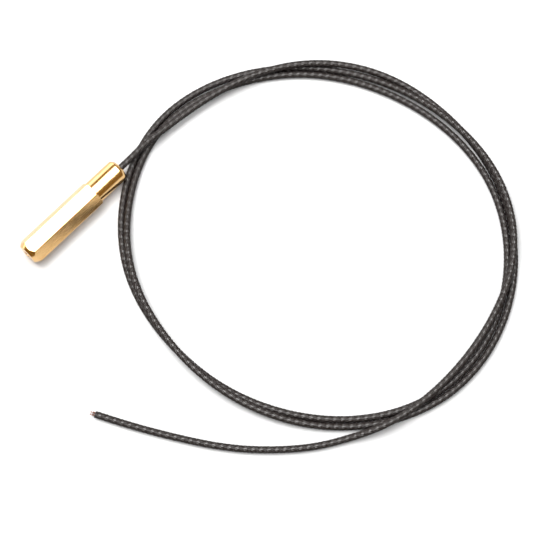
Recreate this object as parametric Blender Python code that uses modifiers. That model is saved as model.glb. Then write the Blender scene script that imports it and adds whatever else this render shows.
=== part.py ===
"""Flame sensor probe: a brass housing turned from hexagon bar, the element inside it, and its braided lead.

Units are metres and +Z is up. The probe lies on its bottom flat with its axis along X: the tip faces -X, the
neck and the lead +X. The origin is on the surface it lies on, under the middle of the probe. The lead leaves
the neck, makes about two and a half loose turns on the surface and ends in a free tail.
"""

import math

import bmesh
import bpy
import numpy as np

MM = 0.001

# Clearance between pieces that touch on the real object.
GAP = 0.2 * MM

# Housing. The neck's end stays put when a length changes, because the lead is laid out from it.
NECK_END_X = 17.5 * MM
HEX_ACROSS_FLATS = 7.0 * MM
HEX_LENGTH = 25.0 * MM
TIP_FACE_DIAMETER = 5.8 * MM
TIP_CHAMFER_LENGTH = 1.7 * MM
SHOULDER_CORNER_CUT = 0.3 * MM
SHOULDER_CHAMFER_LENGTH = 0.45 * MM
NECK_DIAMETER = 6.7 * MM
NECK_LENGTH = 10.0 * MM
NECK_CHAMFER = 0.8 * MM
BORE_DIAMETER = 4.6 * MM
SIGHT_BORE_DIAMETER = 2.4 * MM
SIGHT_BORE_LENGTH = 3.5 * MM

# Window and its seat, from the tip inwards.
SEAL_THICKNESS = 0.6 * MM
SEAL_WIDTH = 0.9 * MM
WINDOW_THICKNESS = 1.0 * MM
RETAINER_THICKNESS = 0.8 * MM
RETAINER_WIDTH = 0.7 * MM

# Sensing element, its legs and the bead that keeps them apart.
CAN_DIAMETER = 3.8 * MM
CAN_LENGTH = 2.6 * MM
HEADER_FLANGE = 0.1 * MM
HEADER_THICKNESS = 0.8 * MM
LEG_DIAMETER = 0.4 * MM
LEG_SPACING = 2.2 * MM
BEAD_LENGTH = 4.0 * MM
STANDOFF = 0.8 * MM

# Splices between the legs and the lead's cores.
SPLICE_LENGTH = 4.0 * MM
SPLICE_WALL = 0.2 * MM
SLEEVE_WALL = 0.2 * MM
SLEEVE_OVERHANG = 0.4 * MM
PLUG_LENGTH = 4.0 * MM

# Lead: two insulated cores side by side in a braided sleeve.
CABLE_DIAMETER = 1.9 * MM
BRAID_WALL = 0.2 * MM
CORE_DIAMETER = 0.55 * MM
CORE_GAP = 0.1 * MM
CONDUCTOR_DIAMETER = 0.3 * MM
BRAID_TAIL_LENGTH = 5.1 * MM
FERRULE_LENGTH = 1.4 * MM
FERRULE_WALL = 0.5 * MM
BUSH_LENGTH = 2.5 * MM
BUSH_RECESS = 0.5 * MM
LEAD_START_GAP = 0.3 * MM
CUT_CORE_LENGTH = 0.7 * MM
CUT_CONDUCTOR_LENGTH = 0.4 * MM

# The lead's route, in millimetres. It runs straight out of the neck, then clockwise round COIL_CENTRE. A turn
# has 15 points, one each 24 degrees. Each is (distance from the centre, height of the lead's centre line).
EXIT_X = 21.5
LEAVING = [(26.0, 0.2, 3.35)]
COIL_CENTRE = (41.2, -54.5)
COIL_START_DEG = 96.0
COIL_STEP_DEG = 24.0
FIRST_TURN = [
    (54.5, 2.7), (52.7, 2.9), (53.2, 3.0), (53.4, 1.4), (52.4, 1.0), (52.7, 1.0), (53.5, 1.0),
    (54.2, 1.0), (54.1, 1.2), (52.1, 1.0), (50.1, 1.6), (49.1, 2.7), (49.6, 3.0), (52.0, 2.8),
    (54.2, 1.5),
]
SECOND_TURN = [
    (55.7, 1.0), (53.1, 1.0), (50.7, 1.0), (49.0, 1.0), (49.2, 1.0), (50.6, 1.0), (51.5, 1.0),
    (52.2, 1.0), (52.1, 1.0), (50.1, 1.0), (48.2, 1.0), (48.0, 1.0), (49.6, 1.0), (53.2, 1.0),
    (56.1, 1.0),
]
LAST_STRETCH = [
    (57.7, 1.0), (55.5, 1.0), (52.7, 1.0), (51.3, 1.3), (51.3, 2.7), (52.9, 3.0), (53.0, 3.0),
    (50.9, 2.9), (51.0, 2.8), (53.6, 2.5),
]
TAIL = [
    (7.9, -97.5, 1.3), (0.9, -93.2, 1.0), (-7.9, -85.8, 1.0), (-16.0, -76.8, 1.0), (-23.4, -65.8, 1.0),
    (-30.0, -54.3, 1.0), (-34.9, -44.7, 1.0),
]
POINTS_PER_TURN = 27
ROUTE_SAMPLES = 8000
# Least part of a step between an end of the lead and the first bearing that the line is cut at.
END_MARGIN = 0.25

# Roundness of the faceted solids.
HOUSING_SEGMENTS = 48
INNER_SEGMENTS = 28
SMALL_SEGMENTS = 14
CORE_BEND_STEPS = 8
CUT_MARGIN = 1.0 * MM

# Derived places along X.
SHOULDER_X = NECK_END_X - NECK_LENGTH
TIP_X = SHOULDER_X - HEX_LENGTH
AXIS_HEIGHT = HEX_ACROSS_FLATS / 2
FILLING_RADIUS = BORE_DIAMETER / 2 - GAP
CORE_OFFSET = (CORE_DIAMETER + CORE_GAP) / 2

# Surface looks: sRGB colour, roughness, metallic.
BRASS = ("#c9a14e", 0.25, 1.0)
COPPER = ("#b87348", 0.30, 1.0)
TINNED = ("#b9babc", 0.35, 1.0)
BLACK_BRAID = ("#2c2828", 0.55, 0.0)
GLASS = ("#dfe8ea", 0.05, 0.0)
CERAMIC = ("#e9e4d8", 0.60, 0.0)
RED_RUBBER = ("#9a3a2a", 0.70, 0.0)
RESIN = ("#2b2a27", 0.40, 0.0)
DARK_SLEEVE = ("#3a3a3c", 0.45, 0.0)
CORE_PLASTIC = ("#c96a2a", 0.45, 0.0)


def clear_scene():
    for obj in list(bpy.data.objects):
        bpy.data.objects.remove(obj, do_unlink=True)


def collection(name, hidden=False):
    made = bpy.data.collections.new(name)
    made.hide_render = hidden
    bpy.context.scene.collection.children.link(made)
    return made


def linear(srgb):
    """The linear colour of an sRGB hex code."""
    values = [int(srgb[i : i + 2], 16) / 255 for i in (1, 3, 5)]
    return [v / 12.92 if v <= 0.04045 else ((v + 0.055) / 1.055) ** 2.4 for v in values] + [1.0]


def give_material(obj, look):
    colour, roughness, metallic = look
    made = bpy.data.materials.new(obj.name)
    made.use_nodes = True
    shader = made.node_tree.nodes["Principled BSDF"]
    shader.inputs["Base Color"].default_value = linear(colour)
    shader.inputs["Roughness"].default_value = roughness
    shader.inputs["Metallic"].default_value = metallic
    made.diffuse_color = linear(colour)
    obj.data.materials.append(made)


class Builder:
    """Makes the parts in one collection and the cutters in another, all along the probe's axis."""

    def __init__(self):
        self.parts = collection("flame_sensor_probe")
        self.cutters = collection("cutters", hidden=True)
        self.axis = bpy.data.objects.new("probe_axis", None)
        self.axis.location = (0, 0, AXIS_HEIGHT)
        self.axis.rotation_euler = (0, math.radians(90), 0)
        self.parts.objects.link(self.axis)

    def place(self, name, data, look, x=0.0, y=0.0):
        """Adds an object whose own Z runs along the probe: a part when it has a look, else a cutter."""
        obj = bpy.data.objects.new(name, data)
        obj.parent = self.axis
        obj.location = (0, y, x)
        if look is None:
            self.cutters.objects.link(obj)
            obj.hide_render = True
            obj.display_type = "WIRE"
        else:
            self.parts.objects.link(obj)
            give_material(obj, look)
        return obj

    def turned(self, name, outline, look=None, x=0.0, y=0.0, segments=INNER_SEGMENTS):
        """A turned piece. The outline's (radius, along) points run from the neck's side to the tip's side."""
        mesh = bpy.data.meshes.new(name)
        shape = bmesh.new()
        points = [shape.verts.new((radius, 0, along)) for radius, along in outline]
        pairs = list(zip(points, points[1:]))
        if outline[0][0] > 0:
            pairs.append((points[-1], points[0]))
        for pair in pairs:
            shape.edges.new(pair)
        shape.to_mesh(mesh)
        shape.free()
        obj = self.place(name, mesh, look, x, y)
        screw = obj.modifiers.new("turn", "SCREW")
        screw.steps = segments
        screw.render_steps = segments
        screw.use_merge_vertices = True
        screw.merge_threshold = 0.000001
        screw.use_smooth_shade = True
        return obj

    def wire(self, name, points, diameter, look, along_probe=True):
        """A wire or tube through the given points, in the probe's frame or, for the lead, in the world's."""
        curve = bpy.data.curves.new(name, "CURVE")
        curve.dimensions = "3D"
        curve.bevel_depth = diameter / 2
        curve.bevel_resolution = 2
        curve.use_fill_caps = True
        spline = curve.splines.new("POLY")
        spline.points.add(len(points) - 1)
        for target, point in zip(spline.points, points):
            target.co = (*point, 1.0)
        spline.use_smooth = True
        obj = self.place(name, curve, look)
        if not along_probe:
            obj.parent = None
        return obj


def chamfered_rod(radius, length, edge):
    """Outline of a solid rod that starts at 0, with its far edge chamfered by edge."""
    return [(0, length), (radius - edge, length), (radius, length - edge), (radius, 0), (0, 0)]


def plain_rod(radius, length):
    return [(0, length), (radius, length), (radius, 0), (0, 0)]


def ring(outer, inner, length):
    return [(outer, length), (outer, 0), (inner, 0), (inner, length)]


def cut(obj, cutter, operation="DIFFERENCE"):
    boolean = obj.modifiers.new(cutter.name, "BOOLEAN")
    boolean.operation = operation
    boolean.object = cutter
    boolean.solver = "EXACT"


def make_housing(builder):
    """Hexagon bar with turned chamfers, the neck joined to it, and the stepped bore through both."""
    mesh = bpy.data.meshes.new("hex_housing")
    shape = bmesh.new()
    corner_radius = HEX_ACROSS_FLATS / math.sqrt(3)
    bmesh.ops.create_cone(
        shape, cap_ends=True, segments=6, radius1=corner_radius, radius2=corner_radius, depth=HEX_LENGTH
    )
    shape.to_mesh(mesh)
    shape.free()
    housing = builder.place("hex_housing", mesh, BRASS, x=TIP_X + HEX_LENGTH / 2)

    tip_radius = TIP_FACE_DIAMETER / 2
    tip_slope = (corner_radius - tip_radius) / TIP_CHAMFER_LENGTH
    shoulder_slope = SHOULDER_CORNER_CUT / SHOULDER_CHAMFER_LENGTH
    envelope = [
        (0, SHOULDER_X + CUT_MARGIN),
        (corner_radius - SHOULDER_CORNER_CUT - shoulder_slope * CUT_MARGIN, SHOULDER_X + CUT_MARGIN),
        (corner_radius + shoulder_slope * CUT_MARGIN, SHOULDER_X - SHOULDER_CHAMFER_LENGTH - CUT_MARGIN),
        (corner_radius + tip_slope * CUT_MARGIN, TIP_X + TIP_CHAMFER_LENGTH + CUT_MARGIN),
        (tip_radius - tip_slope * CUT_MARGIN, TIP_X - CUT_MARGIN),
        (0, TIP_X - CUT_MARGIN),
    ]
    cut(housing, builder.turned("chamfer_envelope", envelope, segments=HOUSING_SEGMENTS), "INTERSECT")

    neck = chamfered_rod(NECK_DIAMETER / 2, NECK_LENGTH + CUT_MARGIN, NECK_CHAMFER)
    cut(housing, builder.turned("neck", neck, x=SHOULDER_X - CUT_MARGIN, segments=HOUSING_SEGMENTS), "UNION")

    bore_floor = TIP_X + SIGHT_BORE_LENGTH
    bore_radius = BORE_DIAMETER / 2
    sight_radius = SIGHT_BORE_DIAMETER / 2
    bore = [
        (0, NECK_END_X + CUT_MARGIN),
        (bore_radius, NECK_END_X + CUT_MARGIN),
        (bore_radius, bore_floor),
        (sight_radius, bore_floor),
        (sight_radius, TIP_X - CUT_MARGIN),
        (0, TIP_X - CUT_MARGIN),
    ]
    cut(housing, builder.turned("stepped_bore", bore, segments=HOUSING_SEGMENTS))


def make_window(builder):
    """Seal, window and retaining ring on the bore's floor. Returns where the stack ends."""
    x = TIP_X + SIGHT_BORE_LENGTH + GAP
    seal = ring(FILLING_RADIUS, FILLING_RADIUS - SEAL_WIDTH, SEAL_THICKNESS)
    builder.turned("window_seal_ring", seal, RED_RUBBER, x)
    x += SEAL_THICKNESS + GAP
    builder.turned("window_lens", plain_rod(FILLING_RADIUS, WINDOW_THICKNESS), GLASS, x)
    x += WINDOW_THICKNESS + GAP
    retainer = ring(FILLING_RADIUS, FILLING_RADIUS - RETAINER_WIDTH, RETAINER_THICKNESS)
    builder.turned("lens_retaining_ring", retainer, BRASS, x)
    return x + RETAINER_THICKNESS


def make_element(builder, window_end):
    """Sensing element behind the window. Returns where its base ends."""
    x = window_end + GAP
    builder.turned("photocell_can", plain_rod(CAN_DIAMETER / 2, CAN_LENGTH), TINNED, x)
    x += CAN_LENGTH + GAP
    header = plain_rod(CAN_DIAMETER / 2 + HEADER_FLANGE, HEADER_THICKNESS)
    builder.turned("photocell_header", header, TINNED, x)
    return x + HEADER_THICKNESS


def bored_filling(builder, name, x, length, hole_radius, hole_y, look):
    """A cylinder that fills the bore, with a through hole on each side for the two wires."""
    filling = builder.turned(name, plain_rod(FILLING_RADIUS, length), look, x)
    for side, y in (("a", -hole_y), ("b", hole_y)):
        hole = plain_rod(hole_radius, length + 2 * CUT_MARGIN)
        cutter = builder.turned(f"{name}_hole_{side}", hole, None, x - CUT_MARGIN, y, SMALL_SEGMENTS)
        cut(filling, cutter)


def core_path(start_x, end_x, spread_from, spread_to, wide, side):
    """A core runs straight out of its splice, draws in beside its twin, and then runs on in the braid."""
    points = [(0, side * wide, start_x)]
    for i in range(CORE_BEND_STEPS + 1):
        t = i / CORE_BEND_STEPS
        ease = t * t * (3 - 2 * t)
        y = wide + (CORE_OFFSET - wide) * ease
        points.append((0, side * y, spread_from + t * (spread_to - spread_from)))
    points.append((0, side * CORE_OFFSET, end_x))
    return points


def make_wiring(builder, header_end):
    """Legs, bead, splices, sleeves, cores and plug, from the element's base to the neck."""
    bead_x = header_end + STANDOFF
    bead_end = bead_x + BEAD_LENGTH
    leg_hole = LEG_DIAMETER / 2 + GAP
    bored_filling(builder, "ceramic_insulator", bead_x, BEAD_LENGTH, leg_hole, LEG_SPACING / 2, CERAMIC)
    splice_x = bead_end + STANDOFF
    splice_middle = splice_x + SPLICE_LENGTH / 2
    splice_end = splice_x + SPLICE_LENGTH
    splice_outer = leg_hole + SPLICE_WALL
    sleeve_inner = splice_outer + GAP
    sleeve_outer = sleeve_inner + SLEEVE_WALL
    # The splices are in line with the legs, or as much further apart as their sleeves need.
    splice_y = max(LEG_SPACING / 2, sleeve_outer + GAP / 2)
    sleeve_length = SPLICE_LENGTH + 2 * SLEEVE_OVERHANG
    sleeve_x = splice_x - SLEEVE_OVERHANG
    core_x = splice_end + SLEEVE_OVERHANG + GAP
    plug_x = core_x + SLEEVE_OVERHANG
    plug_end = plug_x + PLUG_LENGTH
    bored_filling(builder, "potting_plug", plug_x, PLUG_LENGTH, CORE_DIAMETER / 2 + GAP, splice_y, RESIN)
    braid_x = NECK_END_X - BRAID_TAIL_LENGTH
    for side, sign in (("a", -1), ("b", 1)):
        y = sign * splice_y
        leg_y = sign * LEG_SPACING / 2
        leg = [
            (0, leg_y, header_end + GAP),
            (0, leg_y, bead_end),
            (0, y, splice_x),
            (0, y, splice_middle - GAP / 2),
        ]
        builder.wire(f"sensor_lead_{side}", leg, LEG_DIAMETER, TINNED)
        splice = ring(splice_outer, leg_hole, SPLICE_LENGTH)
        builder.turned(f"crimp_splice_{side}", splice, TINNED, splice_x, y, SMALL_SEGMENTS)
        sleeve = ring(sleeve_outer, sleeve_inner, sleeve_length)
        builder.turned(f"splice_sleeve_{side}", sleeve, DARK_SLEEVE, sleeve_x, y, SMALL_SEGMENTS)
        bared = [(0, y, splice_middle + GAP / 2), (0, y, core_x - GAP)]
        builder.wire(f"core_conductor_{side}", bared, CONDUCTOR_DIAMETER, COPPER)
        path = core_path(core_x, NECK_END_X - GAP, plug_end + GAP, braid_x - GAP, splice_y, sign)
        builder.wire(f"core_insulation_{side}", path, CORE_DIAMETER, CORE_PLASTIC)
    return braid_x


def make_lead_exit(builder, braid_x):
    """The braid inside the neck, the ferrule crimped round it and the bush in the neck's mouth."""
    cable_radius = CABLE_DIAMETER / 2
    braid = ring(cable_radius, cable_radius - BRAID_WALL, NECK_END_X - braid_x)
    builder.turned("braid_tail", braid, BLACK_BRAID, braid_x)
    grip_inner = cable_radius + GAP
    bush_x = NECK_END_X - BUSH_RECESS - BUSH_LENGTH
    ferrule = ring(grip_inner + FERRULE_WALL, grip_inner, FERRULE_LENGTH)
    builder.turned("braid_ferrule", ferrule, BRASS, bush_x - GAP - FERRULE_LENGTH)
    builder.turned("strain_bush", ring(FILLING_RADIUS, grip_inner, BUSH_LENGTH), RED_RUBBER, bush_x)


def route_points():
    """The route's points in metres: out of the neck, round the coil, and along the tail."""
    start = (NECK_END_X + LEAD_START_GAP, 0, AXIS_HEIGHT)
    leaving = (EXIT_X * MM, 0, AXIS_HEIGHT)
    coil = []
    for i, (radius, height) in enumerate(FIRST_TURN + SECOND_TURN + LAST_STRETCH):
        bearing = math.radians(COIL_START_DEG - i * COIL_STEP_DEG)
        x = COIL_CENTRE[0] + radius * math.cos(bearing)
        y = COIL_CENTRE[1] + radius * math.sin(bearing)
        coil.append((x, y, height))
    return np.array([start, leaving] + [[v * MM for v in p] for p in LEAVING + coil + TAIL])


def natural_spline(points, samples):
    """Evenly spaced points on the natural cubic spline, parametrised by chord length, through the given ones."""
    gaps = np.linalg.norm(np.diff(points, axis=0), axis=1)
    knots = np.concatenate([[0], np.cumsum(gaps)])
    count = len(points)
    matrix = np.eye(count)
    right = np.zeros((count, 3))
    for i in range(1, count - 1):
        before, after = gaps[i - 1], gaps[i]
        matrix[i, i - 1 : i + 2] = before, 2 * (before + after), after
        right[i] = 6 * ((points[i + 1] - points[i]) / after - (points[i] - points[i - 1]) / before)
    bend = np.linalg.solve(matrix, right)
    at = np.linspace(0, knots[-1], samples)
    i = np.clip(np.searchsorted(knots, at, side="right") - 1, 0, count - 2)
    span = gaps[i][:, None]
    left, ahead = (knots[i + 1] - at)[:, None], (at - knots[i])[:, None]
    curve = (bend[i] * left**3 + bend[i + 1] * ahead**3) / (6 * span)
    curve += (points[i] / span - bend[i] * span / 6) * left
    curve += (points[i + 1] / span - bend[i + 1] * span / 6) * ahead
    return curve


def lead_line():
    """The lead's centre line, cut at even bearings round the coil, so that neighbouring turns stay parallel."""
    fine = natural_spline(route_points(), ROUTE_SAMPLES)
    away = fine[:, :2] - np.array(COIL_CENTRE) * MM
    turned = -np.unwrap(np.arctan2(away[:, 1], away[:, 0]))
    step = 2 * math.pi / POINTS_PER_TURN
    first = math.ceil(turned[0] / step + END_MARGIN)
    last = math.floor(turned[-1] / step - END_MARGIN)
    wanted = np.arange(first, last + 1) * step
    line = np.stack([np.interp(wanted, turned, fine[:, axis]) for axis in range(3)], axis=1)
    return np.concatenate([fine[:1], line, fine[-1:]])


def make_lead(builder):
    """The free lead, and the two cores with their conductors where it is cut."""
    line = lead_line()
    builder.wire("lead_cable", line.tolist(), CABLE_DIAMETER, BLACK_BRAID, along_probe=False)
    end = line[-1]
    ahead = end - line[-2]
    ahead[2] = 0
    ahead /= np.linalg.norm(ahead)
    across = np.array([-ahead[1], ahead[0], 0])
    for side, sign in (("a", -1), ("b", 1)):
        core = end + across * sign * CORE_OFFSET + ahead * GAP
        tip = core + ahead * CUT_CORE_LENGTH
        builder.wire(f"cut_core_{side}", [core, tip], CORE_DIAMETER, CORE_PLASTIC, along_probe=False)
        bare = tip + ahead * GAP
        end_of_bare = bare + ahead * CUT_CONDUCTOR_LENGTH
        strands = [bare, end_of_bare]
        builder.wire(f"cut_conductor_{side}", strands, CONDUCTOR_DIAMETER, COPPER, along_probe=False)


def main():
    clear_scene()
    builder = Builder()
    make_housing(builder)
    window_end = make_window(builder)
    header_end = make_element(builder, window_end)
    braid_x = make_wiring(builder, header_end)
    make_lead_exit(builder, braid_x)
    make_lead(builder)


main()
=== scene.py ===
"""Looks of a flame sensor probe: its brass housing, the braided lead in a loose coil, the cut cores and the stage.

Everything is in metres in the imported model's frame: +X along the probe from tip to neck, +Z up, and the surface that
the probe lies on at height 0.
"""

import math

import bpy
import numpy as np
from bpy.props import FloatProperty, FloatVectorProperty, IntProperty, PointerProperty, StringProperty
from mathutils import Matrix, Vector


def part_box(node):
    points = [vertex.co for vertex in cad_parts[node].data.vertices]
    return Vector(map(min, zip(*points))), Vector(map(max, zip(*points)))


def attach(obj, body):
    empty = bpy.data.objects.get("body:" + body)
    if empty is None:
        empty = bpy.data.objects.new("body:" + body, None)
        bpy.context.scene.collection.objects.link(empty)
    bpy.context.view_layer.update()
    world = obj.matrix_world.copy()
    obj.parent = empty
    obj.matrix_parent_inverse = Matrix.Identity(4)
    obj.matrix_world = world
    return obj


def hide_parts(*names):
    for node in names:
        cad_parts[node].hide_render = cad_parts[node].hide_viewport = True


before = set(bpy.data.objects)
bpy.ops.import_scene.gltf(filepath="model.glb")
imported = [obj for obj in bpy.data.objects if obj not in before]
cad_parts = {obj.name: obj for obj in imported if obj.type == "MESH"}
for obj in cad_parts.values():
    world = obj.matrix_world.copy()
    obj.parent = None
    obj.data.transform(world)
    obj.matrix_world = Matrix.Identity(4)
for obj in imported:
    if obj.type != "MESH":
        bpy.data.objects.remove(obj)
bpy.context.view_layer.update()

bl_info = {
    "name": "Flame Sensor Probe",
    "version": (1, 0, 0),
    "blender": (4, 5, 0),
    "location": "3D View > Sidebar > Probe",
    "description": "Builds the finished surfaces of a brass flame sensor probe with a braided lead",
    "category": "Add Mesh",
}

MM = 0.001
HOUSING_LOW, HOUSING_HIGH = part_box("hex_housing")
TIP_X = HOUSING_LOW.x
NECK_END_X = HOUSING_HIGH.x
AXIS_HEIGHT = (HOUSING_LOW.z + HOUSING_HIGH.z) / 2
BORE_FLOOR_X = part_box("window_seal_ring")[0].x - 0.2 * MM
# How much further a hexagon's corner is from the centre than its flat, as a share of the flat's distance
CORNER_EXCESS = 0.1547

# The lead's route, in millimetres. It runs straight out of the neck, then clockwise round COIL_CENTRE. A turn has
# 15 points, one each 24 degrees, and each point is (distance from the centre, height of the lead's centre line).
INSIDE_NECK = [(14.0, 0, 3.5), (17.8, 0, 3.5)]
LEAVING = [(21.5, 0, 3.5), (26.0, 0.2, 3.35)]
COIL_CENTRE = (41.2, -54.5)
COIL_START_DEG = 96.0
COIL_STEP_DEG = 24.0
FIRST_TURN = [
    (54.5, 2.7), (52.7, 2.9), (53.2, 3.0), (53.4, 1.4), (52.4, 1.0), (52.7, 1.0), (53.5, 1.0), (54.2, 1.0),
    (54.1, 1.2), (52.1, 1.0), (50.1, 1.6), (49.1, 2.7), (49.6, 3.0), (52.0, 2.8), (54.2, 1.5),
]
SECOND_TURN = [
    (55.7, 1.0), (53.1, 1.0), (50.7, 1.0), (49.0, 1.0), (49.2, 1.0), (50.6, 1.0), (51.5, 1.0), (52.2, 1.0),
    (52.1, 1.0), (50.1, 1.0), (48.2, 1.0), (48.0, 1.0), (49.6, 1.0), (53.2, 1.0), (56.1, 1.0),
]
LAST_STRETCH = [
    (57.7, 1.0), (55.5, 1.0), (52.7, 1.0), (51.3, 1.3), (51.3, 2.7), (52.9, 3.0), (53.0, 3.0), (50.9, 2.9),
    (51.0, 2.8), (53.6, 2.5),
]
TAIL = [
    (7.9, -97.5, 1.3), (0.9, -93.2, 1.0), (-7.9, -85.8, 1.0), (-16.0, -76.8, 1.0), (-23.4, -65.8, 1.0),
    (-30.0, -54.3, 1.0), (-34.9, -44.7, 1.0),
]


# Small shared tools


def linear(srgb):
    """The linear colour, with alpha, of an sRGB hex code."""
    values = [int(srgb[i : i + 2], 16) / 255 for i in (1, 3, 5)]
    return [v / 12.92 if v <= 0.04045 else ((v + 0.055) / 1.055) ** 2.4 for v in values] + [1.0]


def add_node(tree, kind, inputs=None, **settings):
    """Adds a node with its settings. Each input is a socket to link from, or a value."""
    node = tree.nodes.new(kind)
    for name, value in settings.items():
        setattr(node, name, value)
    for name, value in (inputs or {}).items():
        if isinstance(value, bpy.types.NodeSocket):
            tree.links.new(value, node.inputs[name])
        else:
            node.inputs[name].default_value = value
    return node


def new_material(name, **sockets):
    """A material and its tree, with the Principled shader's own sockets set."""
    material = bpy.data.materials.new(name)
    material.use_nodes = True
    tree = material.node_tree
    shader = tree.nodes["Principled BSDF"]
    for socket, value in sockets.items():
        shader.inputs[socket.replace("_", " ")].default_value = value
    return material, tree, shader


def mixed_colour(tree, factor, first, second):
    """A socket that runs from the first hex colour to the second as the factor goes from 0 to 1."""
    mix = add_node(tree, "ShaderNodeMix", {"Factor": factor}, data_type="RGBA")
    mix.inputs[6].default_value = linear(first)
    mix.inputs[7].default_value = linear(second)
    return mix.outputs[2]


def add_piece(name, mesh, material, slot, *replaced):
    """Links a finished mesh as a piece of the object that stands for the given CAD nodes."""
    piece = bpy.data.objects.new(name, mesh)
    bpy.context.scene.collection.objects.link(piece)
    mesh.materials.clear()
    mesh.materials.append(material)
    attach(piece, "root")
    if replaced:
        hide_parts(*replaced)
    return piece


def plain_mesh(maker, name):
    """The evaluated mesh of an object that only served to make it. The object is removed."""
    graph = bpy.context.evaluated_depsgraph_get()
    mesh = bpy.data.meshes.new_from_object(maker.evaluated_get(graph))
    mesh.name = name
    data = maker.data
    bpy.data.objects.remove(maker)
    if isinstance(data, bpy.types.Curve):
        bpy.data.curves.remove(data)
    return mesh


def line_curve(name, points):
    """A curve object with one poly spline through the points."""
    curve = bpy.data.curves.new(name, "CURVE")
    curve.dimensions = "3D"
    spline = curve.splines.new("POLY")
    spline.points.add(len(points) - 1)
    spline.points.foreach_set("co", np.column_stack([points, np.ones(len(points))]).ravel())
    maker = bpy.data.objects.new(name, curve)
    bpy.context.scene.collection.objects.link(maker)
    return maker


def tube_mesh(name, points, radius, sides=4):
    """A capped round tube along the points."""
    maker = line_curve(name, points)
    maker.data.bevel_depth = radius
    maker.data.bevel_resolution = sides
    maker.data.use_fill_caps = True
    maker.data.splines[0].use_smooth = True
    return plain_mesh(maker, name)


# Finishes


def drawn_brass():
    """Free-cutting brass: bright gold, long drawing lines on the flats and fine tool rings where it was turned."""
    material, tree, shader = new_material("drawn_and_turned_brass", Metallic=1.0)
    uv = add_node(tree, "ShaderNodeUVMap", uv_map="UVMap").outputs["UV"]
    drawn = add_node(tree, "ShaderNodeAttribute", attribute_name="drawn").outputs["Fac"]
    # The map is in millimetres, along the profile and round the axis. Lines are drawn about 0.1 mm apart, coarser
    # than real ones, so that they show.
    along_lines = add_node(tree, "ShaderNodeMapping", {"Vector": uv, "Scale": (0.25, 9.0, 1.0)})
    ring_lines = add_node(tree, "ShaderNodeMapping", {"Vector": uv, "Scale": (11.0, 0.12, 1.0)})
    noise = {"Scale": 1.0, "Detail": 3.0, "Roughness": 0.6}
    along = add_node(tree, "ShaderNodeTexNoise", {"Vector": along_lines.outputs["Vector"], **noise})
    rings = add_node(tree, "ShaderNodeTexNoise", {"Vector": ring_lines.outputs["Vector"], **noise})
    lines = add_node(tree, "ShaderNodeMix", {"Factor": drawn}, data_type="FLOAT")
    tree.links.new(rings.outputs["Fac"], lines.inputs[2])
    tree.links.new(along.outputs["Fac"], lines.inputs[3])
    # Faint patches of handling and first tarnish, a few millimetres across.
    place = add_node(tree, "ShaderNodeTexCoord").outputs["Object"]
    patches = add_node(
        tree, "ShaderNodeTexNoise", {"Vector": place, "Scale": 260.0, "Detail": 4.0, "Roughness": 0.55}
    )
    colour = mixed_colour(tree, patches.outputs["Fac"], "#e4c08c", "#d2a566")
    tree.links.new(colour, shader.inputs["Base Color"])
    # Drawn flats scatter more than turned faces.
    lowest = add_node(tree, "ShaderNodeMath", {0: drawn, 1: 0.06, 2: 0.12}, operation="MULTIPLY_ADD").outputs[0]
    rough = add_node(
        tree, "ShaderNodeMath", {0: lines.outputs[0], 1: 0.16, 2: lowest}, operation="MULTIPLY_ADD"
    )
    tree.links.new(rough.outputs[0], shader.inputs["Roughness"])
    bump = add_node(
        tree, "ShaderNodeBump", {"Strength": 0.35, "Distance": 0.012 * MM, "Height": lines.outputs[0]}
    )
    tree.links.new(bump.outputs["Normal"], shader.inputs["Normal"])
    return material


def varnished_yarn(name, dark, light, gloss):
    """Varnished glass-fibre yarn: black-brown, with fine filaments along it and a broken film of varnish on top."""
    material, tree, shader = new_material(name, Specular_IOR_Level=0.1, Coat_Roughness=0.14)
    # The film is made weaker where it is seen at a slant, which keeps the lead's edges dark.
    facing = add_node(tree, "ShaderNodeLayerWeight", {"Blend": 0.5}).outputs["Facing"]
    film = add_node(
        tree, "ShaderNodeMapRange", {"Value": facing, "From Max": 0.35, "To Min": gloss, "To Max": 0.04}
    )
    tree.links.new(film.outputs["Result"], shader.inputs["Coat Weight"])
    uv = add_node(tree, "ShaderNodeUVMap", uv_map="UVMap").outputs["UV"]
    tint = add_node(tree, "ShaderNodeAttribute", attribute_name="yarn_tint").outputs["Fac"]
    # The map is in millimetres along the yarn and in yarn widths across it: about nine filament bundles show.
    filaments = add_node(tree, "ShaderNodeMapping", {"Vector": uv, "Scale": (0.7, 9.0, 1.0)})
    fibre = add_node(
        tree,
        "ShaderNodeTexNoise",
        {"Vector": filaments.outputs["Vector"], "Scale": 1.0, "Detail": 2.0, "Roughness": 0.6, "W": tint},
        noise_dimensions="4D",
    )
    colour = mixed_colour(tree, fibre.outputs["Fac"], dark, light)
    tree.links.new(colour, shader.inputs["Base Color"])
    rough = add_node(
        tree, "ShaderNodeMapRange", {"Value": fibre.outputs["Fac"], "To Min": 0.28, "To Max": 0.50}
    )
    tree.links.new(rough.outputs["Result"], shader.inputs["Roughness"])
    bump = add_node(
        tree, "ShaderNodeBump", {"Strength": 0.5, "Distance": 0.02 * MM, "Height": fibre.outputs["Fac"]}
    )
    tree.links.new(bump.outputs["Normal"], shader.inputs["Normal"])
    return material


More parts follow.
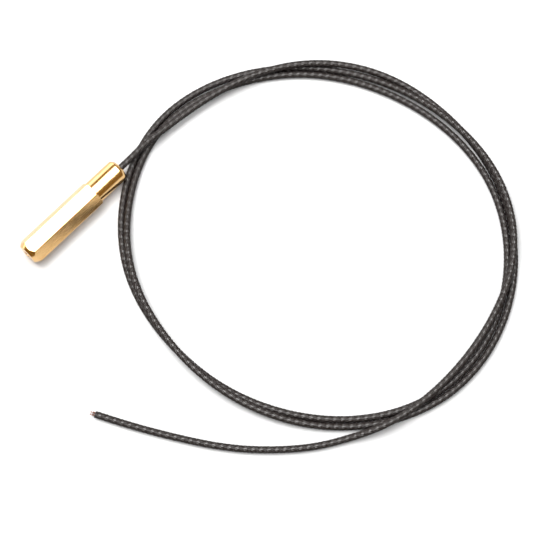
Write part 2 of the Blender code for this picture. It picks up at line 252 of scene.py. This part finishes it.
def grained(name, dark, light, grain_mm, rough_low, rough_high, bump_mm, **sockets):
    """A surface whose colour, roughness and height vary with one noise of the given grain size."""
    material, tree, shader = new_material(name, **sockets)
    place = add_node(tree, "ShaderNodeTexCoord").outputs["Object"]
    noise = add_node(
        tree, "ShaderNodeTexNoise", {"Vector": place, "Scale": 1 / (grain_mm * MM), "Detail": 4.0, "Roughness": 0.6}
    )
    tree.links.new(mixed_colour(tree, noise.outputs["Fac"], dark, light), shader.inputs["Base Color"])
    rough = add_node(
        tree, "ShaderNodeMapRange", {"Value": noise.outputs["Fac"], "To Min": rough_low, "To Max": rough_high}
    )
    tree.links.new(rough.outputs["Result"], shader.inputs["Roughness"])
    bump = add_node(
        tree, "ShaderNodeBump", {"Strength": 0.6, "Distance": bump_mm * MM, "Height": noise.outputs["Fac"]}
    )
    tree.links.new(bump.outputs["Normal"], shader.inputs["Normal"])
    return material


class PROBE_OT_inner_parts(bpy.types.Operator):
    """Finish the parts inside the housing and the cut cores"""

    bl_idname = "probe.inner_parts"
    bl_label = "Inner Parts and Cut Cores"

    def execute(self, context):
        for name, material in inner_finishes().items():
            node = bpy.data.objects[name]
            node.data.materials.clear()
            node.data.materials.append(material)
        return {"FINISHED"}


def inner_finishes():
    """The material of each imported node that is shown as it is, by node name."""
    # Metals are bright and slightly uneven in colour and gloss, and the copper is darker, as if dulled by the air.
    turned = grained("turned_brass_ring", "#c79a4c", "#e0bc78", 0.5, 0.2, 0.35, 0.004, Metallic=1.0)
    tinned = grained("tinned_steel", "#9b9da0", "#c4c6c8", 0.3, 0.25, 0.45, 0.003, Metallic=1.0)
    copper = grained("dulled_copper_strand", "#6e3a1f", "#935430", 0.2, 0.25, 0.45, 0.01, Metallic=1.0)
    # Polished glass is clear, and fired steatite is an off-white and matt ceramic.
    glass = grained("float_glass_window", "#dfeaea", "#f2f8f8", 2.0, 0.02, 0.05, 0.001, Transmission_Weight=1.0)
    ceramic = grained("fired_steatite", "#ded8c8", "#f0ece2", 0.25, 0.55, 0.75, 0.008)
    # Moulded rubber and extruded silicone are soft and matt. Resin and the shrunk sleeve keep a low sheen.
    rubber = grained("moulded_silicone_rubber", "#7f2b20", "#a44433", 0.35, 0.55, 0.75, 0.01)
    resin = grained("cast_epoxy_resin", "#1c1b19", "#34322e", 0.6, 0.25, 0.45, 0.012)
    sleeve = grained("heat_shrunk_sleeve", "#2d2d2f", "#47474a", 0.3, 0.35, 0.55, 0.012)
    core = grained("extruded_silicone_core", "#3f1d0c", "#6a3517", 0.2, 0.4, 0.6, 0.008)
    # The braid's surface inside the neck is drawn as plain dark cloth.
    braid = grained("braid_inside_the_neck", "#0b0908", "#262120", 0.25, 0.5, 0.7, 0.05)
    looks = {
        "window_seal_ring": rubber,
        "window_lens": glass,
        "lens_retaining_ring": turned,
        "photocell_can": tinned,
        "photocell_header": tinned,
        "ceramic_insulator": ceramic,
        "potting_plug": resin,
        "braid_tail": braid,
        "braid_ferrule": turned,
        "strain_bush": rubber,
    }
    for side in "ab":
        looks |= {
            f"sensor_lead_{side}": tinned,
            f"crimp_splice_{side}": tinned,
            f"splice_sleeve_{side}": sleeve,
            f"core_conductor_{side}": copper,
            f"core_insulation_{side}": core,
            f"cut_core_{side}": core,
            f"cut_conductor_{side}": copper,
        }
    return looks


# Housing


def rounded_corner(before, corner, after, reach, steps=4):
    """Points of a smooth curve that replaces the corner, with a support point on each straight side."""
    points = []
    to_before, to_after = before - corner, after - corner
    left = np.linalg.norm(to_before, axis=-1, keepdims=True)
    right = np.linalg.norm(to_after, axis=-1, keepdims=True)
    reach = np.minimum(reach, 0.42 * np.minimum(left, right))
    start = corner + to_before / left * reach
    end = corner + to_after / right * reach
    points.append(corner + to_before / left * reach * 1.15)
    for t in np.linspace(0, 1, steps + 1):
        points.append((1 - t) ** 2 * start + 2 * t * (1 - t) * corner + t**2 * end)
    points.append(corner + to_after / right * reach * 1.15)
    return points


def hexagon_radius(angles, across_flats, edge_round):
    """Distance from the axis to a hexagon with slightly rounded corners. A flat faces straight up."""
    corner = across_flats / math.sqrt(3)
    sharpness = corner * math.log(2) / (CORNER_EXCESS * edge_round)
    flats = np.radians(30 + 60 * np.arange(6))
    reach = np.maximum(np.cos(angles[:, None] - flats[None, :]), 0) / (across_flats / 2)
    return 1 / np.sum((reach * across_flats / 2) ** sharpness, axis=1) ** (1 / sharpness) * across_flats / 2


def housing_mesh(settings):
    """Lofts the housing's section round the axis: the tip face, chamfer, flats, shoulder, neck and stepped bore."""
    near_corner = np.array([0, 0.3, 0.6, 1.0, 1.5, 2.1, 3.0, 4.2, 6.0, 8.5, 12.0, 16.0, 20.0, 25.0])
    sector = np.concatenate([near_corner, [30.0], 60 - near_corner[:0:-1]])
    angles = np.radians(np.concatenate([sector + 60 * k for k in range(6)]))
    hexagon = hexagon_radius(angles, settings.across_flats, settings.edge_round)
    flat = np.ones(len(angles))
    corner_radius = settings.across_flats / math.sqrt(3)
    shoulder_x = NECK_END_X - settings.neck_length
    face = settings.tip_face_diameter / 2
    slope = (corner_radius - face) / settings.tip_chamfer_length
    chamfer_end = TIP_X + (hexagon - face) / slope
    cut_radius = corner_radius - settings.shoulder_corner_cut
    edge = 0.05 * MM
    cut_slope = settings.shoulder_corner_cut / settings.shoulder_chamfer_length
    cut_start = np.minimum(shoulder_x - (hexagon - cut_radius) / cut_slope, shoulder_x - edge)
    shoulder_radius = np.minimum(hexagon - edge, cut_radius)
    neck = settings.neck_diameter / 2
    bore = settings.bore_diameter / 2
    sight = settings.sight_bore_diameter / 2
    chamfer = settings.neck_chamfer
    corners = [
        (TIP_X * flat, sight * flat, 0.10),
        (TIP_X * flat, face * flat, 0.12),
        (chamfer_end, hexagon, 0.07),
        (cut_start, hexagon, 0.05),
        (shoulder_x * flat, shoulder_radius, 0.05),
        (shoulder_x * flat, neck * flat, 0.12),
        ((NECK_END_X - chamfer) * flat, neck * flat, 0.45),
        (NECK_END_X * flat, (neck - chamfer) * flat, 0.12),
        (NECK_END_X * flat, bore * flat, 0.05),
        (BORE_FLOOR_X * flat, bore * flat, 0.05),
        (BORE_FLOOR_X * flat, sight * flat, 0.05),
    ]
    places = [np.stack([x, r], axis=-1) for x, r, _ in corners]
    rows, drawn = [], []
    for i, (x, r, reach) in enumerate(corners):
        following = places[(i + 1) % len(places)]
        bend = rounded_corner(places[i - 1], places[i], following, reach * MM)
        rows += bend
        on_flat = 1.0 if i == 3 else 0.0
        drawn += [on_flat] * len(bend)
        if i == 2:
            next_start = rounded_corner(places[2], places[3], places[4], corners[3][2] * MM)[0]
            rows += [bend[-1] + (next_start - bend[-1]) * t for t in (0.02, 0.2, 0.4, 0.6, 0.8, 0.98)]
            drawn += [1.0] * 6
    section = np.array(rows)
    drawn = np.array(drawn)
    row_count, column_count = section.shape[:2]
    x, r = section[..., 0], section[..., 1]
    points = np.stack([x, r * np.cos(angles), AXIS_HEIGHT + r * np.sin(angles)], axis=-1)
    steps = np.linalg.norm(np.diff(section, axis=0, append=section[:1]), axis=-1)
    along = np.concatenate([np.zeros((1, column_count)), np.cumsum(steps, axis=0)]) / MM
    around = np.append(angles, 2 * math.pi) * corner_radius / MM
    i, j = np.meshgrid(np.arange(row_count), np.arange(column_count), indexing="ij")
    i, j = i.ravel(), j.ravel()
    below, beside = (i + 1) % row_count, (j + 1) % column_count
    quads = np.stack(
        [i * column_count + j, i * column_count + beside, below * column_count + beside, below * column_count + j],
        axis=1,
    )
    corners_uv = np.stack(
        [
            np.stack([along[i, j], around[j]], axis=1),
            np.stack([along[i, beside], around[j + 1]], axis=1),
            np.stack([along[i + 1, beside], around[j + 1]], axis=1),
            np.stack([along[i + 1, j], around[j]], axis=1),
        ],
        axis=1,
    )
    mesh = bpy.data.meshes.new("brass_housing")
    mesh.from_pydata(points.reshape(-1, 3), [], quads)
    mesh.shade_smooth()
    mesh.uv_layers.new(name="UVMap").data.foreach_set("uv", corners_uv.ravel())
    mask = mesh.attributes.new("drawn", "FLOAT", "POINT")
    mask.data.foreach_set("value", np.repeat(drawn, column_count))
    return mesh


class HousingSettings(bpy.types.PropertyGroup):
    """Sizes of the brass housing."""

    across_flats: FloatProperty(
        name="Across flats", description="Size of the hexagon bar", default=7.0 * MM, unit="LENGTH"
    )
    edge_round: FloatProperty(
        name="Corner rounding", description="Radius on the bar's long corners", default=0.35 * MM, unit="LENGTH"
    )
    tip_face_diameter: FloatProperty(
        name="Tip face", description="Diameter of the flat face at the tip", default=5.8 * MM, unit="LENGTH"
    )
    tip_chamfer_length: FloatProperty(
        name="Tip chamfer", description="Length of the turned chamfer on the corners", default=1.7 * MM, unit="LENGTH"
    )
    shoulder_corner_cut: FloatProperty(
        name="Shoulder cut", description="How much the corners lose at the shoulder", default=0.3 * MM, unit="LENGTH"
    )
    shoulder_chamfer_length: FloatProperty(
        name="Shoulder chamfer", description="Length of that cut along the bar", default=0.45 * MM, unit="LENGTH"
    )
    neck_diameter: FloatProperty(
        name="Neck diameter", description="Diameter of the round neck", default=6.7 * MM, unit="LENGTH"
    )
    neck_length: FloatProperty(
        name="Neck length", description="Length of the round neck", default=10.0 * MM, unit="LENGTH"
    )
    neck_chamfer: FloatProperty(
        name="Neck chamfer", description="Broken edge at the neck's end", default=0.8 * MM, unit="LENGTH"
    )
    bore_diameter: FloatProperty(
        name="Bore", description="Diameter of the bore that holds the element", default=4.6 * MM, unit="LENGTH"
    )
    sight_bore_diameter: FloatProperty(
        name="Sight bore", description="Diameter of the hole that the element looks through", default=2.4 * MM,
        unit="LENGTH",
    )


class PROBE_OT_housing(bpy.types.Operator):
    """Build the brass housing"""

    bl_idname = "probe.housing"
    bl_label = "Brass Housing"

    def execute(self, context):
        mesh = housing_mesh(context.scene.probe_housing)
        add_piece("brass_housing", mesh, drawn_brass(), "brass", "hex_housing")
        return {"FINISHED"}


# Lead


def natural_spline(points, step):
    """Points about one step apart along the natural cubic spline, parametrised by chord length."""
    gaps = np.linalg.norm(np.diff(points, axis=0), axis=1)
    knots = np.concatenate([[0], np.cumsum(gaps)])
    count = len(points)
    matrix = np.eye(count)
    right = np.zeros((count, 3))
    for i in range(1, count - 1):
        before, after = gaps[i - 1], gaps[i]
        matrix[i, i - 1 : i + 2] = before, 2 * (before + after), after
        right[i] = 6 * ((points[i + 1] - points[i]) / after - (points[i] - points[i - 1]) / before)
    bend = np.linalg.solve(matrix, right)
    at = np.linspace(0, knots[-1], round(knots[-1] / step) + 1)
    i = np.clip(np.searchsorted(knots, at, side="right") - 1, 0, count - 2)
    span = gaps[i][:, None]
    left, ahead = (knots[i + 1] - at)[:, None], (at - knots[i])[:, None]
    curve = (bend[i] * left**3 + bend[i + 1] * ahead**3) / (6 * span)
    curve += (points[i] / span - bend[i] * span / 6) * left
    curve += (points[i + 1] / span - bend[i + 1] * span / 6) * ahead
    return curve


def lead_line(step):
    """The lead's centre line, in metres, from inside the neck round the coil to the cut end."""
    coil = []
    for i, (radius, height) in enumerate(FIRST_TURN + SECOND_TURN + LAST_STRETCH):
        bearing = math.radians(COIL_START_DEG - i * COIL_STEP_DEG)
        x = COIL_CENTRE[0] + radius * math.cos(bearing)
        y = COIL_CENTRE[1] + radius * math.sin(bearing)
        coil.append((x, y, height))
    points = np.array(INSIDE_NECK + LEAVING + coil + TAIL) * MM
    return natural_spline(points, step)


def yarn_tree():
    """Geometry Nodes tree that winds one hand's yarns round a centre line, over one and under one of the other's."""
    tree = bpy.data.node_groups.new("Braided yarns", "GeometryNodeTree")
    tree.interface.new_socket("Centre line", in_out="INPUT", socket_type="NodeSocketGeometry")
    for name, kind in (
        ("Yarns", "NodeSocketInt"),
        ("First yarn", "NodeSocketInt"),
        ("Made yarns", "NodeSocketInt"),
        ("Hand", "NodeSocketFloat"),
        ("Lay", "NodeSocketFloat"),
        ("Mean radius", "NodeSocketFloat"),
        ("Relief", "NodeSocketFloat"),
        ("Yarn width", "NodeSocketFloat"),
        ("Yarn thickness", "NodeSocketFloat"),
        ("Material", "NodeSocketMaterial"),
    ):
        tree.interface.new_socket(name, in_out="INPUT", socket_type=kind)
    tree.interface.new_socket("Yarns", in_out="OUTPUT", socket_type="NodeSocketGeometry")
    given = add_node(tree, "NodeGroupInput").outputs

    def maths(operation, first, second=0.0):
        return add_node(tree, "ShaderNodeMath", {0: first, 1: second}, operation=operation).outputs[0]

    def vector_maths(operation, first, second=None, scale=None):
        node = add_node(tree, "ShaderNodeVectorMath", {0: first}, operation=operation)
        if second is not None:
            tree.links.new(second, node.inputs[1])
        if scale is not None:
            tree.links.new(scale, node.inputs["Scale"])
        return node.outputs[0]

    copies = add_node(
        tree,
        "GeometryNodeDuplicateElements",
        {"Geometry": given["Centre line"], "Amount": given["Made yarns"]},
        domain="SPLINE",
    )
    index = maths("ADD", copies.outputs["Duplicate Index"], given["First yarn"])
    length = add_node(tree, "GeometryNodeSplineParameter").outputs["Length"]
    turns = maths("DIVIDE", maths("MULTIPLY", length, given["Hand"]), given["Lay"])
    angle = maths("MULTIPLY", maths("ADD", maths("DIVIDE", index, given["Yarns"]), turns), math.tau)
    # Crossings passed so far are twice the yarns times the turns. Each yarn goes over one and under the next.
    crossings = maths("MULTIPLY", maths("MULTIPLY", turns, given["Yarns"]), 2.0)
    wave = maths("COSINE", maths("MULTIPLY", crossings, math.pi))
    # A steeper wave cut off at one keeps a yarn at its full height for a while before it dips.
    flattened = maths("MINIMUM", maths("MAXIMUM", maths("MULTIPLY", wave, 1.35), -1.0), 1.0)
    lift = maths("MULTIPLY", maths("MULTIPLY", flattened, given["Hand"]), given["Relief"])
    normal = add_node(tree, "GeometryNodeInputNormal").outputs["Normal"]
    tangent = add_node(tree, "GeometryNodeInputTangent").outputs["Tangent"]
    side = vector_maths("CROSS_PRODUCT", tangent, normal)
    outward = vector_maths(
        "ADD",
        vector_maths("SCALE", normal, scale=maths("COSINE", angle)),
        vector_maths("SCALE", side, scale=maths("SINE", angle)),
    )
    kept = add_node(tree, "GeometryNodeCaptureAttribute", {"Geometry": copies.outputs["Geometry"]}, domain="POINT")
    for kind, name, value in (("VECTOR", "Outward", outward), ("FLOAT", "Along", length), ("FLOAT", "Tint", index)):
        kept.capture_items.new(kind, name)
        tree.links.new(value, kept.inputs[name])
    offset = vector_maths("SCALE", kept.outputs["Outward"], scale=maths("ADD", given["Mean radius"], lift))
    moved = add_node(tree, "GeometryNodeSetPosition", {"Geometry": kept.outputs["Geometry"], "Offset": offset})
    turned = add_node(
        tree,
        "GeometryNodeSetCurveNormal",
        {"Curve": moved.outputs["Geometry"], "Normal": kept.outputs["Outward"]},
        mode="FREE",
    )
    flat = add_node(
        tree,
        "GeometryNodeCurvePrimitiveQuadrilateral",
        {"Width": given["Yarn thickness"], "Height": given["Yarn width"]},
        mode="RECTANGLE",
    )
    # One cut across each corner leaves eight points: flat on top, with soft sides.
    profile = add_node(
        tree,
        "GeometryNodeFilletCurve",
        {
            "Curve": flat.outputs["Curve"],
            "Count": 1,
            "Radius": maths("MULTIPLY", given["Yarn thickness"], 0.4),
        },
        mode="POLY",
    )
    across = add_node(tree, "GeometryNodeCaptureAttribute", {"Geometry": profile.outputs["Curve"]}, domain="POINT")
    across.capture_items.new("FLOAT", "Across")
    factor = add_node(tree, "GeometryNodeSplineParameter").outputs["Factor"]
    tree.links.new(factor, across.inputs["Across"])
    swept = add_node(
        tree,
        "GeometryNodeCurveToMesh",
        {"Curve": turned.outputs["Curve"], "Profile Curve": across.outputs["Geometry"], "Fill Caps": True},
    )
    # The map is in millimetres along the yarn, and in yarn widths round it.
    uv = add_node(
        tree,
        "ShaderNodeCombineXYZ",
        {"X": maths("DIVIDE", kept.outputs["Along"], MM), "Y": maths("MULTIPLY", across.outputs["Across"], 2.0)},
    )
    mapped = add_node(
        tree,
        "GeometryNodeStoreNamedAttribute",
        {"Geometry": swept.outputs["Mesh"], "Name": "UVMap", "Value": uv.outputs["Vector"]},
        data_type="FLOAT2",
        domain="CORNER",
    )
    tinted = add_node(
        tree,
        "GeometryNodeStoreNamedAttribute",
        {
            "Geometry": mapped.outputs["Geometry"],
            "Name": "yarn_tint",
            "Value": maths("MULTIPLY", kept.outputs["Tint"], 7.3),
        },
        data_type="FLOAT",
        domain="POINT",
    )
    smooth = add_node(tree, "GeometryNodeSetShadeSmooth", {"Geometry": tinted.outputs["Geometry"]})
    real = add_node(tree, "GeometryNodeRealizeInstances", {"Geometry": smooth.outputs["Geometry"]})
    done = add_node(
        tree,
        "GeometryNodeSetMaterial",
        {"Geometry": real.outputs["Geometry"], "Material": given["Material"]},
    )
    add_node(tree, "NodeGroupOutput", {"Yarns": done.outputs["Geometry"]})
    return tree


def braided_yarns(name, line, tree, values):
    """The mesh of one hand's yarns, made by the tree on a curve along the lead."""
    maker = line_curve(name, line)
    maker.data.twist_mode = "Z_UP"
    modifier = maker.modifiers.new("braid", "NODES")
    modifier.node_group = tree
    sockets = {s.name: s.identifier for s in tree.interface.items_tree if s.in_out == "INPUT"}
    for key, value in values.items():
        modifier[sockets[key]] = value
    maker.update_tag()
    bpy.context.view_layer.update()
    return plain_mesh(maker, name)


class LeadSettings(bpy.types.PropertyGroup):
    """Sizes and colours of the braided lead."""

    diameter: FloatProperty(
        name="Diameter", description="Outside diameter of the braid", default=1.9 * MM, unit="LENGTH"
    )
    lay: FloatProperty(
        name="Lay", description="Length in which a yarn goes once round", default=16.8 * MM, unit="LENGTH"
    )
    yarns: IntProperty(name="Yarns", description="Yarns wound in each direction", default=8)
    yarn_width: FloatProperty(
        name="Yarn width", description="Width of a flattened yarn", default=0.60 * MM, unit="LENGTH"
    )
    yarn_thickness: FloatProperty(
        name="Yarn thickness", description="Thickness of a flattened yarn", default=0.20 * MM, unit="LENGTH"
    )
    step: FloatProperty(
        name="Step", description="Distance between sections of the yarns", default=0.42 * MM, unit="LENGTH"
    )
    dark: StringProperty(name="Dark", description="Colour between the filaments, as sRGB hex", default="#0d0a0a")
    light: StringProperty(name="Light", description="Colour of the filaments, as sRGB hex", default="#2a2321")


class PROBE_OT_lead(bpy.types.Operator):
    """Build the braided lead"""

    bl_idname = "probe.lead"
    bl_label = "Braided Lead"

    def execute(self, context):
        settings = context.scene.probe_lead
        line = lead_line(settings.step)
        over = settings.diameter / 2 - settings.yarn_thickness / 2
        relief = settings.yarn_thickness * 0.5
        glossy = varnished_yarn("varnished_glass_fibre_yarn", settings.dark, settings.light, 0.65)
        dull = varnished_yarn("dry_glass_fibre_yarn", settings.dark, settings.light, 0.16)
        tree = yarn_tree()
        half = settings.yarns // 2
        # The left-hand yarns are given less varnish than the right-hand ones, which breaks the shine into dashes
        # that slant one way. Both hands have the same radius and thickness.
        for name, hand, first, yarn in (
            ("braid_yarns_right_hand_a", 1.0, 0, glossy),
            ("braid_yarns_right_hand_b", 1.0, half, glossy),
            ("braid_yarns_left_hand_a", -1.0, 0, dull),
            ("braid_yarns_left_hand_b", -1.0, half, dull),
        ):
            values = {
                "Yarns": settings.yarns,
                "First yarn": first,
                "Made yarns": half,
                "Hand": hand,
                "Lay": settings.lay,
                "Mean radius": over - relief,
                "Relief": relief,
                "Yarn width": settings.yarn_width,
                "Yarn thickness": settings.yarn_thickness,
                "Material": yarn,
            }
            mesh = braided_yarns(name, line, tree, values)
            add_piece(name, mesh, yarn, "black_braid")
        jacket = grained("lead_inner_wrap", "#0d0b0b", "#1d1918", 0.4, 0.55, 0.7, 0.02)
        inner = tube_mesh("lead_inner_wrap", line, settings.diameter * 0.35, 2)
        core = add_piece("lead_inner_wrap", inner, jacket, "black_braid", "lead_cable")
        return {"FINISHED"}


# Stage

FLOOR_REACH = 2.0


class StageSettings(bpy.types.PropertyGroup):
    """Camera, light and floor."""

    lens: FloatProperty(name="Lens", description="Focal length of the camera", default=100.0, subtype="NONE")
    camera_place: FloatVectorProperty(
        name="Camera", description="Where the camera stands", default=(-0.0561, -0.1291, 0.3902), unit="LENGTH"
    )
    camera_aim: FloatVectorProperty(
        name="Aim", description="Point that the camera looks at", default=(0.0265, -0.0483, 0.0), unit="LENGTH"
    )
    softbox_power: FloatProperty(
        name="Softbox", description="Power of the large softbox", default=7.5, unit="POWER"
    )
    window_power: FloatProperty(
        name="Window", description="Power of the low bright wall behind it", default=16.0, unit="POWER"
    )
    gleam_power: FloatProperty(
        name="Gleam", description="Power that the softbox adds in reflections only", default=24.5, unit="POWER"
    )
    key_power: FloatProperty(
        name="Key", description="Power of the lamp that gives the shadows", default=7.0, unit="POWER"
    )
    floor: StringProperty(name="Floor", description="Colour of the floor, as sRGB hex", default="#cfcfcf")


def area_light(name, place, aim, width, height, power, reflected_only=False, matt_only=False):
    """A lamp. One that is reflected only adds a highlight, and one that is matt only adds no highlight."""
    light = bpy.data.lights.new(name, "AREA")
    light.shape = "RECTANGLE"
    light.size = width
    light.size_y = height
    light.energy = power
    lamp = bpy.data.objects.new(name, light)
    bpy.context.scene.collection.objects.link(lamp)
    point_at(lamp, place, aim)
    lamp.visible_diffuse = not reflected_only
    lamp.visible_glossy = not matt_only


def point_at(obj, place, aim):
    """Puts an object at a place, with its -Z towards the aim and its Y as far up as it goes."""
    direction = np.array(aim) - np.array(place)
    obj.location = place
    obj.rotation_mode = "QUATERNION"
    obj.rotation_quaternion = Vector(direction).to_track_quat("-Z", "Y")


def room_world(reflected, ambient, backdrop):
    """A dim room: warm in reflections, neutral as ambient light, and pale where the camera sees past the floor."""
    world = bpy.data.worlds.new("room")
    world.use_nodes = True
    tree = world.node_tree
    tree.nodes.clear()
    ray = add_node(tree, "ShaderNodeLightPath").outputs
    shown, seen, lit = (
        add_node(tree, "ShaderNodeBackground", {"Color": linear(colour), "Strength": 1.0}).outputs[0]
        for colour in (reflected, backdrop, ambient)
    )
    inside = add_node(tree, "ShaderNodeMixShader", {0: ray["Is Diffuse Ray"], 1: shown, 2: lit})
    both = add_node(tree, "ShaderNodeMixShader", {0: ray["Is Camera Ray"], 1: inside.outputs[0], 2: seen})
    add_node(tree, "ShaderNodeOutputWorld", {"Surface": both.outputs[0]})
    bpy.context.scene.world = world


class PROBE_OT_stage(bpy.types.Operator):
    """Set up the camera, the floor and the light"""

    bl_idname = "probe.stage"
    bl_label = "Stage"

    def execute(self, context):
        settings = context.scene.probe_stage
        scene = context.scene
        scene.view_settings.view_transform = "Standard"
        camera = bpy.data.objects.new("camera", bpy.data.cameras.new("camera"))
        scene.collection.objects.link(camera)
        camera.data.lens = settings.lens
        camera.data.clip_start = 0.01
        camera.data.clip_end = 20.0
        point_at(camera, tuple(settings.camera_place), tuple(settings.camera_aim))
        scene.camera = camera
        mesh = bpy.data.meshes.new("floor")
        corners = [(x * FLOOR_REACH, y * FLOOR_REACH, 0) for x, y in ((-1, -1), (1, -1), (1, 1), (-1, 1))]
        mesh.from_pydata(corners, [], [(0, 1, 2, 3)])
        floor = bpy.data.objects.new("floor", mesh)
        scene.collection.objects.link(floor)
        mesh.materials.append(grained("white_card", settings.floor, "#d6d6d6", 6.0, 0.8, 0.9, 0.01))
        middle = (0.03, -0.05, 0.0)
        area_light("softbox", (0.05, -0.06, 0.8), (0.05, -0.06, 0.0), 1.0, 0.84, settings.softbox_power)
        area_light("window", (0.0, 1.2, 0.36), middle, 2.4, 0.7, settings.window_power)
        # The gleam sets the brass's highlight and the key sets the shadows, so each can be changed alone.
        gleam = settings.gleam_power
        area_light("softbox_gleam", (0.05, -0.07, 0.79), (0.05, -0.07, 0.0), 1.0, 0.88, gleam, reflected_only=True)
        area_light("key", (0.03, 0.33, 0.80), middle, 0.5, 0.5, settings.key_power, matt_only=True)
        room_world("#8e7238", "#7a7a7a", "#f4f4f4")
        return {"FINISHED"}


class PROBE_PT_panel(bpy.types.Panel):
    """Lists the pieces in the order they are built"""

    bl_idname = "PROBE_PT_panel"
    bl_label = "Flame Sensor Probe"
    bl_space_type = "VIEW_3D"
    bl_region_type = "UI"
    bl_category = "Probe"

    def draw(self, context):
        for group in ("probe_stage", "probe_housing", "probe_lead"):
            settings = getattr(context.scene, group)
            box = self.layout.box()
            for name in settings.__annotations__:
                box.prop(settings, name)
        for operator in OPERATORS:
            self.layout.operator(operator.bl_idname)


SETTINGS = (
    ("probe_stage", StageSettings),
    ("probe_housing", HousingSettings),
    ("probe_lead", LeadSettings),
)
OPERATORS = (PROBE_OT_stage, PROBE_OT_lead, PROBE_OT_housing, PROBE_OT_inner_parts)


def register():
    for name, group in SETTINGS:
        bpy.utils.register_class(group)
        setattr(bpy.types.Scene, name, PointerProperty(type=group))
    for operator in OPERATORS:
        bpy.utils.register_class(operator)
    bpy.utils.register_class(PROBE_PT_panel)


def unregister():
    bpy.utils.unregister_class(PROBE_PT_panel)
    for operator in reversed(OPERATORS):
        bpy.utils.unregister_class(operator)
    for name, group in reversed(SETTINGS):
        delattr(bpy.types.Scene, name)
        bpy.utils.unregister_class(group)


def main():
    register()
    bpy.ops.probe.stage()
    bpy.ops.probe.lead()
    bpy.ops.probe.housing()
    bpy.ops.probe.inner_parts()


if __name__ == "__main__":
    main()
